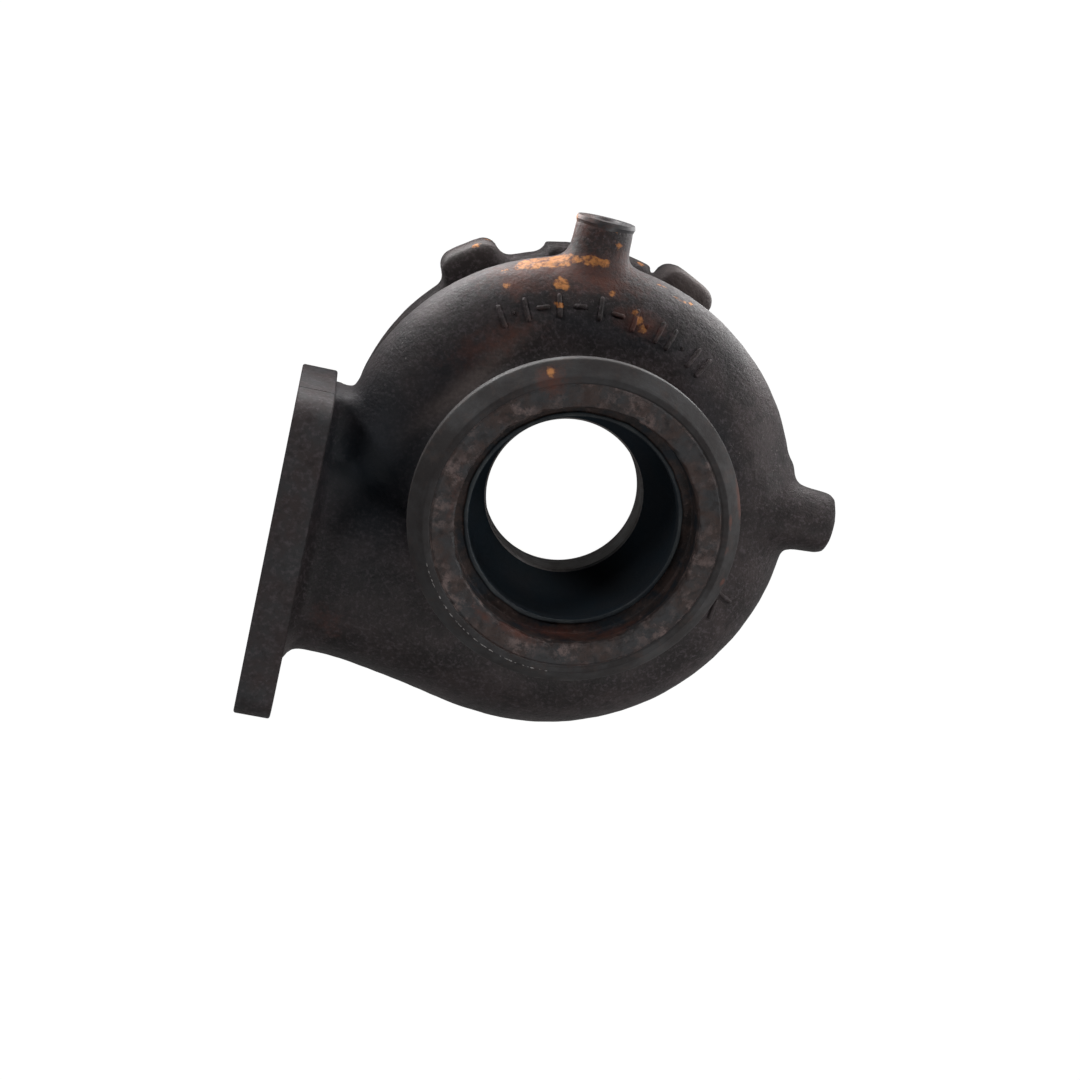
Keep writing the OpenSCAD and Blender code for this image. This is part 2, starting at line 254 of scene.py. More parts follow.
def blurred_lattice(points, cell, seed):
    """Smooth random values from -1 to 1 at points, from a random lattice whose cells are cell mm wide."""
    q = points / (cell * MM)
    base = np.floor(q).astype(int)
    f = q - base
    f = f * f * (3 - 2 * f)
    rng = np.random.default_rng(seed)
    table = rng.uniform(-1, 1, 4096)
    total = np.zeros(len(points))
    for corner in range(8):
        step = np.array([corner & 1, corner >> 1 & 1, corner >> 2 & 1])
        c = base + step
        key = (c[:, 0] * 73 + c[:, 1] * 179 + c[:, 2] * 283) % 4096
        weight = np.prod(np.where(step, f, 1 - f), axis=1)
        total += weight * table[key]
    return total


class Nodes:
    """Builds the nodes of a material or a world from short calls. Grains and depths are in mm."""

    def __init__(self, owner):
        self.owner = owner
        owner.use_nodes = True
        self.tree = owner.node_tree
        self.shader = self.tree.nodes.get("Principled BSDF")
        self.spot = self.add("ShaderNodeTexCoord").outputs["Object"]

    def add(self, kind, inputs=(), **settings):
        """A new node. inputs holds pairs of an input's name or number and its value."""
        node = self.tree.nodes.new(kind)
        for key, value in settings.items():
            setattr(node, key, value)
        self.feed(node, inputs)
        return node

    def feed(self, node, inputs):
        """Links inputs to other nodes' outputs, or sets them to numbers or colours."""
        for key, value in inputs:
            if isinstance(value, bpy.types.NodeSocket):
                self.tree.links.new(value, node.inputs[key])
            elif node.inputs[key].type == "RGBA":
                node.inputs[key].default_value = (*value, 1)
            else:
                node.inputs[key].default_value = value

    def noise(self, grain, detail=3.0, rough=0.55, where=None):
        """Noise whose features are about as large as the grain."""
        inputs = [("Vector", where or self.spot), ("Scale", 1 / (grain * MM))]
        inputs += [("Detail", detail), ("Roughness", rough)]
        return self.add("ShaderNodeTexNoise", inputs).outputs["Fac"]

    def pits(self, grain):
        """Round cells, for pits and grit."""
        inputs = [("Vector", self.spot), ("Scale", 1 / (grain * MM))]
        return self.add("ShaderNodeTexVoronoi", inputs).outputs["Distance"]

    def math(self, what, a, b=0.0):
        return self.add("ShaderNodeMath", [(0, a), (1, b)], operation=what).outputs[0]

    def times(self, a, b):
        return self.math("MULTIPLY", a, b)

    def span(self, value, low, high, out_low=0.0, out_high=1.0):
        """Maps low..high to out_low..out_high and stops at both ends."""
        inputs = [("Value", value), ("From Min", low), ("From Max", high)]
        inputs += [("To Min", out_low), ("To Max", out_high)]
        return self.add("ShaderNodeMapRange", inputs).outputs["Result"]

    def patches(self, grain, detail, rough, low, high, most=1.0):
        """Ragged patches about as large as the grain, as a share from 0 to most."""
        return self.span(self.noise(grain, detail, rough), low, high, 0, most)

    def mix(self, share, a, b):
        """Colour a turning into colour b. The node's inputs 6 and 7 and its output 2 are the colours."""
        return self.add("ShaderNodeMix", [(0, share), (6, a), (7, b)], data_type="RGBA").outputs[2]

    def painted(self, name):
        """A value stored on the mesh."""
        return self.add("ShaderNodeAttribute", attribute_name=name).outputs["Fac"]

    def bump(self, height, depth, strength, under=None):
        """A bumped normal, laid over another one where there is one."""
        inputs = [("Height", height), ("Distance", depth * MM), ("Strength", strength)]
        if under is not None:
            inputs.append(("Normal", under))
        return self.add("ShaderNodeBump", inputs).outputs["Normal"]

    def seen(self, share, light, white):
        """A shader that gives light as one shader and looks to the camera, by a share, like another."""
        ray = self.add("ShaderNodeLightPath").outputs["Is Camera Ray"]
        inputs = [(0, self.times(ray, share)), (1, light), (2, white)]
        return self.add("ShaderNodeMixShader", inputs).outputs[0]

    def finish(self, colour, rough, normal, metal=0.0, gloss=0.4):
        self.feed(self.shader, [
            ("Base Color", colour),
            ("Roughness", rough),
            ("Normal", normal),
            ("Metallic", metal),
            ("Specular IOR Level", gloss),
        ])
        return self.owner


def material_nodes(name):
    return Nodes(bpy.data.materials.new(name))


def rusted(n, colour, fine):
    """Lays the painted rust over a colour: dull red in thin patches and orange with ragged edges."""
    f = colours()
    ragged = n.math("ADD", n.times(n.noise(3.4, 5, 0.7), 1.5), n.times(fine, 0.5))
    old = n.span(n.math("ADD", n.painted("rust_old"), ragged), 1.15, 1.85)
    old = n.times(old, n.span(n.painted("rust_old"), 0, 0.25, 0, 0.85))
    colour = n.mix(old, colour, f.rust_dark)
    fresh = n.span(n.math("ADD", n.painted("rust"), ragged), 1.48, 1.66)
    fresh = n.times(fresh, n.span(n.painted("rust"), 0, 0.2))
    orange = n.mix(n.patches(1.6, 4, 0.6, 0.34, 0.58), f.rust_dark, f.rust)
    return n.mix(fresh, colour, orange)


def scratched(n, colour):
    """Shows bare iron in dots along the painted scratches."""
    f = colours()
    cut = n.span(n.times(n.painted("scratch"), n.noise(1.1, 2, 0.5)), 0.46, 0.56)
    return n.mix(cut, colour, f.scratch)


def cast_skin():
    """Sooty brown sand-cast skin with grit, pits and rust, and with painted glints, painted light and
    painted shade, where the mesh says so.
    """
    f = colours()
    n = material_nodes("cast_skin")
    fine = n.noise(1.1, 4, 0.65)
    colour = n.mix(n.patches(15, 5, 0.6, 0.38, 0.62), f.scale_dark, f.scale_brown)
    colour = n.mix(n.span(fine, 0.50, 0.64, 0, 0.55), colour, f.skin_grey)
    colour = n.mix(n.patches(4.0, 5, 0.6, 0.52, 0.64, 0.65), colour, f.scale_dark)
    # Painted light: pale brown laid where the mesh marks the lit fillet and the lit lug ends
    colour = n.mix(n.times(n.painted("painted_light"), n.span(fine, 0.3, 0.6, 0.5, 0.9)), colour, f.painted_light)
    # Faint pale grit all over, made dense as painted glints where the mesh marks lit skin
    grain, group = n.patches(0.7, 2, 0.6, 0.62, 0.70), n.patches(2.6, 3, 0.55, 0.46, 0.58)
    glint = n.times(grain, group)
    glint = n.times(glint, n.span(n.painted("glint"), 0, 1, 0.05, 1.0))
    colour = n.mix(glint, colour, f.grit_and_glint)
    colour = rusted(n, colour, fine)
    # Soot in the gas way, and painted shade in the valleys round the outlet neck
    colour = n.mix(n.painted("soot"), colour, f.soot)
    normal = n.bump(n.noise(1.0, 3, 0.6), 0.35, 0.6)
    normal = n.bump(n.span(n.pits(2.1), 0.05, 0.30), 0.14, 0.3, normal)
    normal = n.bump(n.noise(3.6, 3, 0.5), 0.6, 0.4, normal)
    return n.finish(colour, n.span(fine, 0.35, 0.65, 0.50, 0.72), normal, gloss=0.42)


def radius_of(n):
    """Distance of a point from the turbine axis and its height, as node values."""
    x, y, z = n.add("ShaderNodeSeparateXYZ", [(0, n.spot)]).outputs
    return n.math("SQRT", n.math("ADD", n.times(x, x), n.times(y, y))), z


def turned(name, base, pale, worn, groove, rough, metal=0.35):
    """Turned iron with fine tool rings, brown oxide, dark stains, rust and scratches."""
    f = colours()
    n = material_nodes(name)
    radius, height = radius_of(n)
    lane = n.add("ShaderNodeCombineXYZ", [(0, radius), (1, height)])
    rings = n.noise(groove, 2, 0.5, where=lane.outputs[0])
    wear = n.patches(11, 5, 0.65, 0.40, 0.62)
    fine = n.noise(0.9, 4, 0.6)
    colour = n.mix(wear, base, pale)
    colour = n.mix(n.patches(4.5, 5, 0.7, 0.52, 0.68, worn), colour, f.face_brown)
    colour = n.mix(n.span(rings, 0.35, 0.65, 0, 0.25), colour, f.scale_dark)
    colour = scratched(n, rusted(n, colour, fine))
    normal = n.bump(rings, 0.05, 0.5)
    normal = n.bump(fine, 0.12, 0.4, normal)
    return n.finish(colour, n.span(wear, 0, 1, rough, rough - 0.1), normal, metal, 0.5)


def corroded_face():
    """Outlet face: brown oxide with pale pinkish deposit in patches, pits, rust and scratches."""
    f = colours()
    n = material_nodes("corroded_face")
    fine = n.noise(0.8, 4, 0.65)
    colour = n.mix(n.patches(8, 6, 0.62, 0.42, 0.58), f.face_brown, f.machined)
    pale = n.times(n.patches(3.8, 6, 0.72, 0.49, 0.61), n.patches(12, 3, 0.55, 0.40, 0.60))
    colour = n.mix(pale, colour, f.face_pale)
    colour = n.mix(n.patches(2.6, 5, 0.65, 0.53, 0.64, 0.75), colour, f.scale_dark)
    colour = scratched(n, rusted(n, colour, fine))
    return n.finish(colour, 0.58, n.bump(fine, 0.22, 0.55), gloss=0.45)


def sooted(name, brown):
    """Gas way: black soot with a faint blue cast on rough iron, and rust where the mesh says so."""
    f = colours()
    n = material_nodes(name)
    colour = n.mix(n.patches(9, 4, 0.55, 0.4, 0.65, 0.3), f.soot, f.scale_dark)
    colour = n.mix(n.patches(5, 4, 0.55, 0.60, 0.72, brown), colour, f.scale_brown)
    colour = rusted(n, colour, n.noise(0.9, 4, 0.6))
    return n.finish(colour, 0.6, n.bump(n.noise(1.4, 3), 0.25, 0.4))


def burnt_ledge():
    """Counterbore's wall and ledge: black and brown scale in blotches, with rust."""
    f = colours()
    n = material_nodes("burnt_ledge")
    colour = n.mix(n.patches(4.5, 6, 0.65, 0.42, 0.58), f.scale_dark, f.face_brown)
    colour = n.mix(n.patches(2.4, 5, 0.7, 0.58, 0.70, 0.6), colour, f.face_pale)
    colour = n.mix(n.patches(7.0, 5, 0.6, 0.50, 0.62, 0.8), colour, f.soot)
    colour = rusted(n, colour, n.noise(0.9, 4, 0.65))
    return n.finish(colour, 0.66, n.bump(n.noise(1.6, 4), 0.4, 0.6))


def flange_skin():
    """Inlet flange: dull violet-grey scale, mottled with brown, smoother than the raw casting."""
    f = colours()
    n = material_nodes("flange_skin")
    blotch = n.patches(13, 5, 0.65, 0.40, 0.60)
    fine = n.noise(1.4, 4, 0.6)
    colour = n.mix(blotch, f.scale_brown, f.machined)
    colour = n.mix(n.span(fine, 0.50, 0.68, 0, 0.5), colour, f.skin_grey)
    colour = n.mix(n.patches(4, 5, 0.7, 0.52, 0.66, 0.6), colour, f.scale_dark)
    colour = rusted(n, colour, fine)
    normal = n.bump(n.noise(1.3, 3, 0.6), 0.25, 0.45)
    normal = n.bump(n.noise(6, 3, 0.5), 0.5, 0.3, normal)
    return n.finish(colour, n.span(blotch, 0, 1, 0.78, 0.66), normal, gloss=0.45)


# Marks on the skin. Each has its angle about the axis in degrees, its distance from the axis and its
# height in mm, its reach along the turn, across it and up, in mm, and how strong it is
FRESH_RUST = [
    (110.4, 65.8, 38.0, 4.6, 1.8, 4.0, 1.45),
    (105.2, 66.0, 37.6, 4.8, 1.8, 4.2, 1.60),
    (100.5, 66.4, 39.0, 3.8, 1.6, 2.4, 1.45),
    (95.6, 66.8, 41.6, 3.4, 1.4, 1.8, 1.20),
    (92.2, 66.8, 42.3, 2.4, 1.6, 1.8, 0.90),
    (103.5, 60.6, 46.4, 2.8, 2.6, 2.8, 1.15),
    (117.2, 65.3, 38.9, 2.0, 1.6, 2.0, 0.65),
    (118.3, 62.1, 44.6, 1.6, 1.6, 1.6, 0.65),
    (104.2, 54.9, 50.1, 1.7, 1.3, 2.0, 0.95),
    (89.4, 59.5, 47.6, 1.3, 1.2, 1.5, 0.85),
    (81.8, 56.5, 49.8, 1.3, 1.3, 1.6, 0.9),
    (79.7, 55.0, 50.6, 1.6, 1.5, 2.0, 0.95),
    (78.4, 52.8, 51.4, 1.5, 1.5, 2.0, 0.9),
    (76.6, 65.5, 39.2, 3.6, 0.9, 1.0, 0.8),
    (70.6, 64.7, 41.5, 3.6, 0.9, 1.0, 0.75),
    (67.6, 65.6, 39.9, 2.2, 0.9, 1.0, 0.7),
    (121.7, 71.7, 14.0, 3.4, 1.6, 1.8, 0.95),
    (118.4, 70.8, 5.3, 2.2, 1.4, 2.4, 0.8),
    (99.3, 78.0, 32.4, 2.6, 1.6, 3.0, 0.9),
    (90.7, 76.1, 41.3, 2.0, 1.4, 1.8, 0.7),
    (89.9, 72.4, 40.9, 1.8, 1.8, 1.8, 0.7),
    (79.0, 67.2, 10.7, 2.4, 1.4, 1.6, 0.7),
    (112.6, 43.5, 86.3, 1.6, 2.4, 2.4, 0.85),
]
OLD_RUST = [
    (103, 63, 41, 24, 7, 9, 0.75),
    (116, 62, 44, 4.0, 5, 6, 0.85),
    (92, 62, 46, 12, 4, 6, 0.7),
    (97, 76, 34, 9, 6, 9, 0.6),
    (80, 54, 51, 7, 4, 4, 0.9),
    (128, 49, 52, 16, 5, 7, 0.55),
    (113, 42.0, 87, 3.6, 4.5, 3, 0.9),
    (20.5, 46.0, 83.4, 5.5, 0.8, 2.2, 1.1),
    (14, 42.6, 87.4, 2.2, 0.6, 1, 0.9),
    (3, 42.3, 87.4, 1.2, 0.6, 1, 0.9),
    (-9.9, 45.0, 84.7, 1.0, 1.0, 1.0, 1.5),
    (-83, 33.2, 80.8, 17, 2.0, 2.6, 0.75),
    (-60, 33.2, 84.0, 10, 1.8, 2.6, 0.6),
    (-106, 33.9, 87.6, 7, 1.6, 1.2, 0.8),
    (-124.6, 35.4, 88, 4, 1.2, 1.2, 0.7),
    (178, 34.8, 88, 12, 1.2, 1.2, 0.35),
    (-140, 78.0, 56, 9, 6, 4, 0.35),
]
# Painted shade: near-black patches painted into the valley between the inlet flange and the outlet neck,
# and along the valley round the neck, where shade falls
VALLEY_SHADE = [
    (186, 56, 46, 26, 17, 20, 0.85),
    (150, 50, 48, 14, 6, 8, 0.45),
    (88, 49, 50, 26, 4, 8, 0.45),
    (40, 48, 50, 22, 4, 8, 0.35),
]
# Painted light: pale brown patches on the fillet at the outlet neck's upper left and on the ends of two
# clamp lugs, where light falls
PAINTED_LIGHT_SPOTS = [
    (144, 43.2, 50.5, 22, 3.0, 6, 1.0),
    (64.6, 69, 13, 9, 6, 8, 0.85),
    (121, 71, 13, 9, 5, 8, 0.35),
]
# Painted highlights: where the pale specks grow dense, as glints where light catches the skin on the
# scroll, the sensor boss, a clamp lug and the stub on the right
GLINTS = [
    (148, 66, 46, 18, 9, 13, 1.0),
    (30, 60, 46, 24, 13, 15, 0.8),
    (95, 60, 46, 14, 7, 9, 0.4),
    (95, 75, 36, 9, 6, 9, 0.9),
    (64.7, 72, 10, 10, 5, 10, 1.0),
    (4, 72, 34, 14, 12, 12, 0.9),
]
# Rust, painted glints and painted light, by the name each is stored under
WEAR_AND_LIGHT = {"rust": FRESH_RUST, "rust_old": OLD_RUST, "glint": GLINTS, "painted_light": PAINTED_LIGHT_SPOTS}
# Scratches on the outlet: radius in mm, first and last angle in degrees, half width in mm, strength
SCRATCHES = [
    (42.0, 198, 280, 0.35, 1.0),
    (43.2, 204, 246, 0.30, 0.9),
    (38.4, 215, 285, 0.30, 0.6),
    (39.8, 178, 230, 0.30, 0.3),
]


def marks(points, places):
    """How strongly each point, in metres, lies in one of the marks."""
    x, y, z = (points / MM).T
    total = np.zeros(len(points))
    for angle, far, high, along, across, up, strength in places:
        turn = radians(angle)
        out = x * cos(turn) + y * sin(turn) - far
        side = y * cos(turn) - x * sin(turn)
        reach = (side / along) ** 2 + (out / across) ** 2 + ((z - high) / up) ** 2
        total = np.maximum(total, strength * np.exp(-0.9 * reach))
    return total


def scratches(points):
    """Thin bright scratches round the outlet face, each over a stretch of its turn."""
    s = sizes()
    radius = from_axis(points)
    angle = np.degrees(np.arctan2(points[:, 1], points[:, 0])) % 360
    on_top = points[:, 2] > HIGH.z - s.bevel_h
    total = np.zeros(len(points))
    for ring, first, last, width, strength in SCRATCHES:
        along = ease(angle, first, first + 9) * (1 - ease(angle, last - 9, last))
        across = np.clip(1.3 - np.abs(radius / MM - ring) / width, 0, 1)
        total = np.maximum(total, strength * along * across * on_top)
    return total


def coordinates(mesh):
    flat = np.empty(len(mesh.vertices) * 3, np.float32)
    mesh.vertices.foreach_get("co", flat)
    return flat.reshape(-1, 3).astype(float)


def paint_wear_and_light(mesh, **more):
    """Stores the wear with the painted glints and painted light, and more values of a mesh's points, for
    its materials.
    """
    points = coordinates(mesh)
    layers = {name: marks(points, places) for name, places in WEAR_AND_LIGHT.items()}
    for name, values in (layers | more).items():
        layer = mesh.attributes.new(name, "FLOAT", "POINT")
        layer.data.foreach_set("value", np.asarray(values, np.float32))


def outlet_heights():
    """Heights of the counterbore's ledge and of the wheel bore's front edge and root."""
    ledge = HIGH.z - dim("outlet_counterbore", "length")
    root = place("wheel_throat").z - dim("wheel_throat", "length") / 2
    return ledge, HIGH.z - sizes().throat_depth, root


def tuck(points):
    """Moves the casting's points in the outlet behind the surface of the turned piece that lines it."""
    s = sizes()
    ledge, throat_top, throat_root = outlet_heights()
    throat_r = dim("wheel_throat", "r")
    lining = [
        (throat_root, throat_r),
        (throat_top, throat_r),
        (throat_top + 0.1 * MM, throat_r + 0.5 * MM),
        (throat_top + 10 * MM, s.cavity_r),
        (ledge - 5 * MM, s.cavity_r),
        (ledge - 2.5 * MM, s.lip_r),
        (ledge - 0.7 * MM, s.lip_r),
        (ledge - 0.6 * MM, dim("outlet_counterbore", "r")),
    ]
    heights, radii = zip(*lining)
    radius = from_axis(points)
    wanted = np.interp(points[:, 2], heights, radii) + 0.7 * MM
    caught = (points[:, 2] > throat_root) & (radius < wanted) & (radius > 5 * MM)
    moved = points.copy()
    moved[caught, :2] *= (wanted / np.maximum(radius, 1e-9))[caught, None]
    return moved


def normals(points, quads):
    """Normals of a mesh of quads at its points."""
    a, b, c, d = (points[quads[:, i]] for i in range(4))
    face = np.cross(c - a, d - b)
    total = np.stack([
        sum(np.bincount(quads[:, i], face[:, k], len(points)) for i in range(4))
        for k in range(3)
    ], axis=1)
    return total / np.maximum(np.linalg.norm(total, axis=1, keepdims=True), 1e-12)


def fill_corners(points, quads, edges, passes, fill, trim):
    """Rounds a casting: inside corners fill up quickly and outside corners ease slowly."""
    count = np.bincount(edges.ravel(), minlength=len(points))[:, None]
    for _ in range(passes):
        middle = np.stack([
            np.bincount(edges[:, 0], points[edges[:, 1], k], len(points))
            + np.bincount(edges[:, 1], points[edges[:, 0], k], len(points))
            for k in range(3)
        ], axis=1) / count
        move = middle - points
        hollow = np.sum(move * normals(points, quads), axis=1, keepdims=True) > 0
        points = points + move * np.where(hollow, fill, trim)
    return points


def zones(points):
    """Where crisp machined pieces cover the casting, as values from 0 to 1."""
    s = sizes()
    x, y, z = points.T
    radius = from_axis(points)
    top = HIGH.z - s.bevel_h - dim("outlet_rim", "length")
    outlet = ease(z, top - 8 * MM, top - 5 * MM) * (radius < dim("outlet_rim", "r") + 3 * MM)
    bore = ease(z, s.slot_top - 1 * MM, s.slot_top + 1 * MM)
    bore *= 1 - ease(radius, s.inducer_r, s.inducer_r + 2 * MM)
    back = LOW.x + s.plate_thickness
    plate = 1 - ease(x, back, back + 0.7 * MM)
    rear = 1 - ease(z, 0.6 * MM, 1.6 * MM)
    boss = ease(y, HIGH.y - 2 * MM, HIGH.y - 1 * MM)
    return np.max([outlet, bore, plate, rear, boss], axis=0)


class HOUSING_OT_cast_body(bpy.types.Operator):
    """Make the raw casting: rounded corners, wavy skin and grain"""

    bl_idname = "housing.cast_body"
    bl_label = "Cast Body"

    def execute(self, context):
        skin = context.scene.housing_skin
        source = frame["nodes"][NODE]
        rough = add_object("rough_casting", source.data.copy())
        grid = rough.modifiers.new("grid", "REMESH")
        grid.mode = "VOXEL"
        grid.voxel_size = skin.grid
        mesh = baked(rough)
        bpy.data.objects.remove(rough)
        quads = np.empty(len(mesh.polygons) * 4, np.int32)
        mesh.polygons.foreach_get("vertices", quads)
        quads = quads.reshape(-1, 4)
        edges = np.empty(len(mesh.edges) * 2, np.int32)
        mesh.edges.foreach_get("vertices", edges)
        edges = edges.reshape(-1, 2)
        points = fill_corners(coordinates(mesh), quads, edges, skin.fillet_passes, skin.fill, skin.trim)
        covered = zones(points)
        out = normals(points, quads)
        height = skin.swell * blurred_lattice(points, 9, 3)
        height += skin.grain * blurred_lattice(points, 2.6, 8)
        push = height * (1 - covered) - skin.cover * covered
        points = tuck(points + out * push[:, None])
        points = np.clip(points, np.array(LOW) + 0.02 * MM, np.array(HIGH) - 0.02 * MM)
        mesh.vertices.foreach_set("co", points.astype(np.float32).ravel())
        # Soot in the gas way, then the painted shade in the valleys round the outlet neck, stored
        # together
        soot = (1 - ease(from_axis(points), 36 * MM, 40 * MM)) * ease(points[:, 2], 2 * MM, 6 * MM)
        paint_wear_and_light(mesh, soot=np.maximum(np.clip(soot, 0, 0.9), marks(points, VALLEY_SHADE)))
        mesh.materials.clear()
        mesh.materials.append(cast_skin())
        mesh.shade_smooth()
        obj = add_piece("cast_body", mesh)
        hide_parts(NODE)
        return {"FINISHED"}


def spin(name, outline, around, materials, slots, steps=192, warp=None):
    """A closed ring turned about an axis line.

    outline holds (radius, height) in metres; slots gives the material of each stretch of it.
    around is a matrix that takes the turning axis, +Z, to its place.
    """
    count = len(outline)
    angle = np.linspace(0, 2 * pi, steps, endpoint=False)
    profile = np.array(outline)
    points = np.stack([
        np.outer(np.cos(angle), profile[:, 0]),
        np.outer(np.sin(angle), profile[:, 0]),
        np.tile(profile[:, 1], (steps, 1)),
    ], axis=2).reshape(-1, 3)
    faces = []
    for k in range(steps):
        here, there = k * count, (k + 1) % steps * count
        for i in range(count):
            after = (i + 1) % count
            faces.append((here + i, there + i, there + after, here + after))
    if warp is not None:
        points = warp(points)
    mesh = new_mesh(name, points.tolist(), faces)
    mesh.transform(around)
    for material in materials:
        mesh.materials.append(material)
    mesh.polygons.foreach_set("material_index", slots * steps)
    shade(mesh, RING_SHARP)
    paint_wear_and_light(mesh, scratch=scratches(coordinates(mesh)))
    return add_piece(name, mesh)


def rounded(corner_points, steps=4):
    """An outline whose corners are cut by short arcs.

    Each corner has its radius, its height, how far its arc reaches, and its material's number.
    """
    result, slots = [], []
    count = len(corner_points)
    for i, (r, z, own, slot) in enumerate(corner_points):
        here = Vector((r, z))
        before = Vector(corner_points[i - 1][:2]) - here
        after = Vector(corner_points[(i + 1) % count][:2]) - here
        cut = min(own, before.length * 0.45, after.length * 0.45)
        if cut < 1e-6:
            result.append((r, z))
            slots.append(slot)
            continue
        a = here + before.normalized() * cut
        b = here + after.normalized() * cut
        for k in range(steps + 1):
            t = k / steps
            p = a * (1 - t) ** 2 + here * 2 * t * (1 - t) + b * t ** 2
            result.append(tuple(p))
            slots.append(slot)
    return result, slots


class HOUSING_OT_outlet_ring(bpy.types.Operator):
    """Turn the outlet: clamp rim, face, counterbore, lip, cavity, wheel bore and shroud contour"""

    bl_idname = "housing.outlet_ring"
    bl_label = "Outlet Ring"

    def execute(self, context):
        s = sizes()
        f = colours()
        top = HIGH.z
        rim_r = dim("outlet_rim", "r")
        rim_top = top - s.bevel_h
        rim_root = rim_top - dim("outlet_rim", "length")
        back = (rim_r - s.neck_r) * 0.6
        bore_r = dim("outlet_counterbore", "r")
        ledge, throat_top, throat_root = outlet_heights()
        throat_r = dim("wheel_throat", "r")
        groove_r = s.face_r - 2.0 * MM
        bend_r = throat_r + (s.inducer_r - throat_r) * 0.3
        bend_z = throat_root + (s.slot_top - throat_root) * 0.55
        hidden, rim, face, ledges, cavity, bore, lip_top = range(7)
        sixth_r, sixth_h = (s.face_r - rim_r) / 6, s.bevel_h / 6
        bevel = [(rim_r + sixth_r * k, rim_top + sixth_h * k, 0, rim) for k in range(1, 6)]
        rings = np.arange(groove_r - 1.1 * MM, bore_r + 0.9 * MM, -0.6 * MM)
        corners = [
            (s.neck_r - 1.5 * MM, s.slot_top + 22 * MM, 0, hidden),
            (s.neck_r - 0.6 * MM, rim_root - back - 6 * MM, 0, rim),
            (s.neck_r + 0.05 * MM, rim_root - back, 2 * MM, rim),
            (rim_r, rim_root, 0.5 * MM, rim),
            (rim_r, rim_top, 0.6 * MM, rim),
            *bevel,
            (s.face_r, top, 0.25 * MM, rim),
            (groove_r + 0.5 * MM, top, 0.1 * MM, rim),
            (groove_r, top - 0.3 * MM, 0.1 * MM, face),
            (groove_r - 0.5 * MM, top, 0.1 * MM, face),
            *[(r, top, 0, face) for r in rings],
            (bore_r + 0.5 * MM, top, 0.1 * MM, face),
            (bore_r, top - 0.5 * MM, 0.1 * MM, face),
            (bore_r, top - 2.5 * MM, 0, ledges),
            (bore_r, top - 5 * MM, 0, ledges),
            (bore_r, ledge, 0.6 * MM, ledges),
            (s.lip_r + 2.2 * MM, ledge, 0, ledges),
            (s.lip_r + 1.6 * MM, ledge, 0.2 * MM, ledges),
            (s.lip_r + 1.2 * MM, ledge + 0.5 * MM, 0.2 * MM, lip_top),
            (s.lip_r + 0.3 * MM, ledge + 0.5 * MM, 0.2 * MM, lip_top),
            (s.lip_r, ledge, 0.2 * MM, cavity),
            (s.lip_r, ledge - 2.5 * MM, 0.5 * MM, cavity),
            (s.cavity_r, ledge - 5 * MM, 2 * MM, cavity),
            (s.cavity_r, throat_top + 10 * MM, 6 * MM, cavity),
            (throat_r + 0.5 * MM, throat_top, 0.12 * MM, bore),
            (throat_r, throat_top - 0.5 * MM, 0.12 * MM, bore),
            (throat_r, throat_root, 0.8 * MM, bore),
            (bend_r, bend_z, 2 * MM, bore),
            (s.inducer_r, s.slot_top, 0.5 * MM, hidden),
            (s.inducer_r + 1.0 * MM, s.slot_top + 2 * MM, 0, hidden),
        ]
        outline, slots = rounded(corners)
        materials = [
            sooted("sooted_wall", 0.35),
            turned("rim_band", f.scale_dark, f.rim_grey, 0.75, 0.8, 0.68, 0),
            corroded_face(),
            burnt_ledge(),
            sooted("sooted_cavity", 0.0),
            # Wheel bore: clean turned iron, painted pale as painted light for the light that the lamps
            # don't bring into the bore
            turned("lit_wheel_bore", f.grit_and_glint, f.bore_lit_grey, 0.1, 0.6, 0.45),
            turned("lip_top", f.soot, f.lip_grey, 0.1, 0.5, 0.6, 0),
        ]

        def warp(points):
            """Eats into the face and its inner edge as rust does, and makes the lip uneven."""
            radius = from_axis(points)
            height = points[:, 2]
            on_face = ease(radius, bore_r - 0.05 * MM, bore_r) * (height > top - 0.8 * MM)
            on_face *= 1 - ease(radius, groove_r - 1.4 * MM, groove_r - 0.5 * MM)
            pits = blurred_lattice(points, 2.3, 21) + 0.5 * blurred_lattice(points, 1.1, 22)
            drop = on_face * (0.30 * np.clip(pits - 0.1, 0, 1) + 0.08) * MM
            edge = near(radius, bore_r + 0.25 * MM, 0.9 * MM) * (height > top - 1.2 * MM)
            turn = points / radius[:, None] * BITE_RING
            bite = blurred_lattice(turn, 3.7, 23) + 0.6 * blurred_lattice(turn, 1.6, 24)
            bite = np.clip(bite, 0, 1)
            lip = near(radius, s.lip_r + 1.2 * MM, 0.8 * MM) * (np.abs(height - ledge) < 0.8 * MM)
            lump = blurred_lattice(turn, 4.5, 25)
            grow = edge * bite * 0.9 * MM + lip * lump * 0.25 * MM
            moved = points * (1 + grow / radius)[:, None]
            moved[:, 2] = height - drop - edge * bite * 0.25 * MM
            return moved

        spin("outlet_ring", outline, Matrix.Identity(4), materials, slots, 384, warp)
        return {"FINISHED"}


